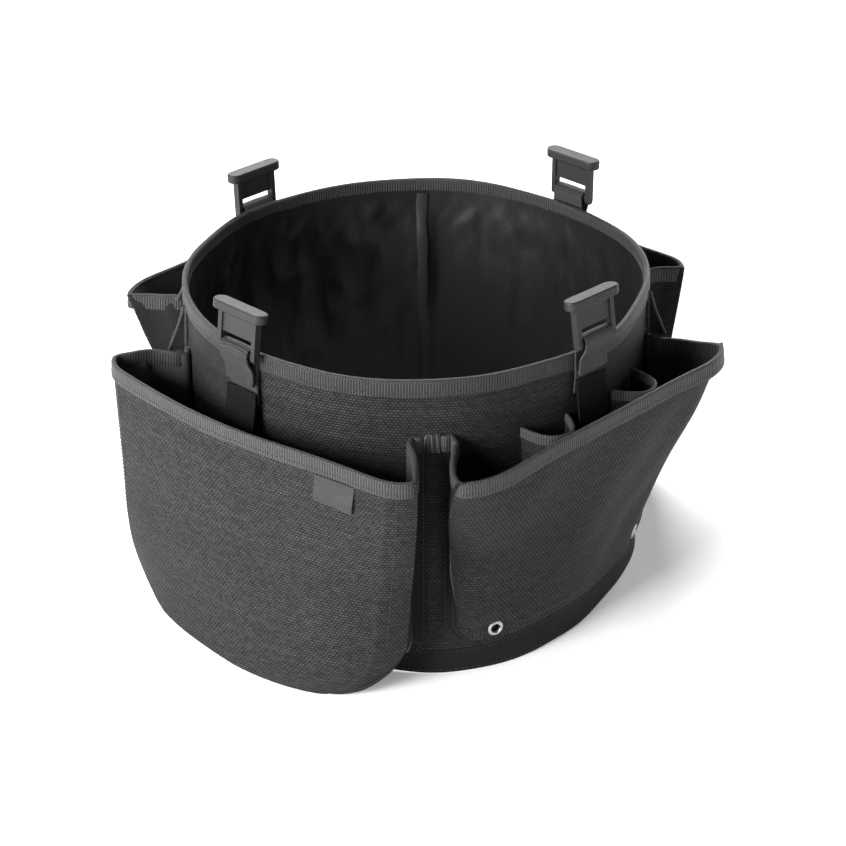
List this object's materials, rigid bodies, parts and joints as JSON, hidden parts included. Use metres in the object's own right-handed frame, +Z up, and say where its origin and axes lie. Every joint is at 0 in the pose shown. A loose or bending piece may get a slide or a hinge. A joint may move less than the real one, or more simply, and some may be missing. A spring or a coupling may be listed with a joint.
{
  "type": "tool bucket organizer",
  "caption": "Open fabric sleeve that slips around a bucket, with big outside pockets, inner tool cells and moulded hooks on adjustable straps",
  "frame": {"origin": "on the sleeve's axis, at the level it stands on", "axes": "+Z up along the sleeve's axis, -Y towards the front junction between the labelled box pocket and the flared pocket"},
  "size_m": [0.4159, 0.4272, 0.2559],
  "materials": {
    "woven_nylon": "coarse ballistic weave, coated on the back",
    "slick_liner": "smooth coated fabric with a soft sheen",
    "binding_tape": "ribbed grosgrain tape",
    "band_fabric": "smooth coated fabric",
    "webbing": "ribbed nylon webbing",
    "loop_tape": "fuzzy loop face of hook-and-loop tape",
    "moulded_hook": "fine satin texture",
    "eyelet_metal": "satin, rolled edge",
    "label_fabric": "smooth woven label, blank"
  },
  "bodies": {
    "sleeve": {"back_junction_tape": "binding_tape", "back_left_binding": "binding_tape", "back_left_drain_eyelets": "eyelet_metal", "back_left_gusset_left": "woven_nylon", "back_left_gusset_right": "woven_nylon", "back_left_loop_strip": "loop_tape", "back_left_panel": "woven_nylon", "back_left_tool_cell_left": "woven_nylon", "back_left_tool_cell_right": "woven_nylon", "back_right_binding": "binding_tape", "back_right_gusset": "woven_nylon", "back_right_loop_strip": "loop_tape", "back_right_panel": "woven_nylon", "blank_label": "label_fabric", "bottom_band": "band_fabric", "front_junction_tape": "binding_tape", "front_left_binding": "binding_tape", "front_left_gusset": "woven_nylon", "front_left_loop_strip": "loop_tape", "front_left_panel": "woven_nylon", "front_right_binding": "binding_tape", "front_right_drain_eyelets": "eyelet_metal", "front_right_gusset_left": "woven_nylon", "front_right_gusset_right": "woven_nylon", "front_right_loop_strip": "loop_tape", "front_right_panel": "woven_nylon", "front_right_tool_cell_left": "woven_nylon", "front_right_tool_cell_right": "woven_nylon", "left_back_corner_web": "woven_nylon", "left_corner_web": "woven_nylon", "liner": "slick_liner", "liner_seam_tape": "binding_tape", "right_back_corner_web": "woven_nylon", "right_corner_web": "woven_nylon", "rim_binding": "binding_tape", "sleeve_wall": "woven_nylon"},
    "front_left_strap": {"front_left_strap": "webbing"},
    "front_left_hook": {"front_left_hook": "moulded_hook"},
    "front_right_strap": {"front_right_strap": "webbing"},
    "front_right_hook": {"front_right_hook": "moulded_hook"},
    "back_right_strap": {"back_right_strap": "webbing"},
    "back_right_hook": {"back_right_hook": "moulded_hook"},
    "back_left_strap": {"back_left_strap": "webbing"},
    "back_left_hook": {"back_left_hook": "moulded_hook"}
  },
  "joints": [
    {"name": "front_left_strap_slide", "type": "slide", "parent": "sleeve", "child": "front_left_strap", "axis": [0, 0, 1], "range_m": [-0.003, 0.03]},
    {"name": "front_left_hook_tilt", "type": "hinge", "parent": "front_left_strap", "child": "front_left_hook", "pos_m": [-0.12172, -0.1139, 0.216], "axis": [0.6833, -0.7302, 0], "range_deg": [-20, 115]},
    {"name": "front_right_strap_slide", "type": "slide", "parent": "sleeve", "child": "front_right_strap", "axis": [0, 0, 1], "range_m": [-0.003, 0.03]},
    {"name": "front_right_hook_tilt", "type": "hinge", "parent": "front_right_strap", "child": "front_right_hook", "pos_m": [0.10782, -0.12714, 0.225], "axis": [0.7627, 0.6468, 0], "range_deg": [-20, 115]},
    {"name": "back_right_strap_slide", "type": "slide", "parent": "sleeve", "child": "back_right_strap", "axis": [0, 0, 1], "range_m": [-0.003, 0.03]},
    {"name": "back_right_hook_tilt", "type": "hinge", "parent": "back_right_strap", "child": "back_right_hook", "pos_m": [0.12092, 0.11475, 0.2205], "axis": [-0.6884, 0.7254, 0], "range_deg": [-20, 115]},
    {"name": "back_left_strap_slide", "type": "slide", "parent": "sleeve", "child": "back_left_strap", "axis": [0, 0, 1], "range_m": [-0.003, 0.03]},
    {"name": "back_left_hook_tilt", "type": "hinge", "parent": "back_left_strap", "child": "back_left_hook", "pos_m": [-0.10937, 0.12581, 0.211], "axis": [-0.7547, -0.6561, 0], "range_deg": [-20, 115]}
  ]
}
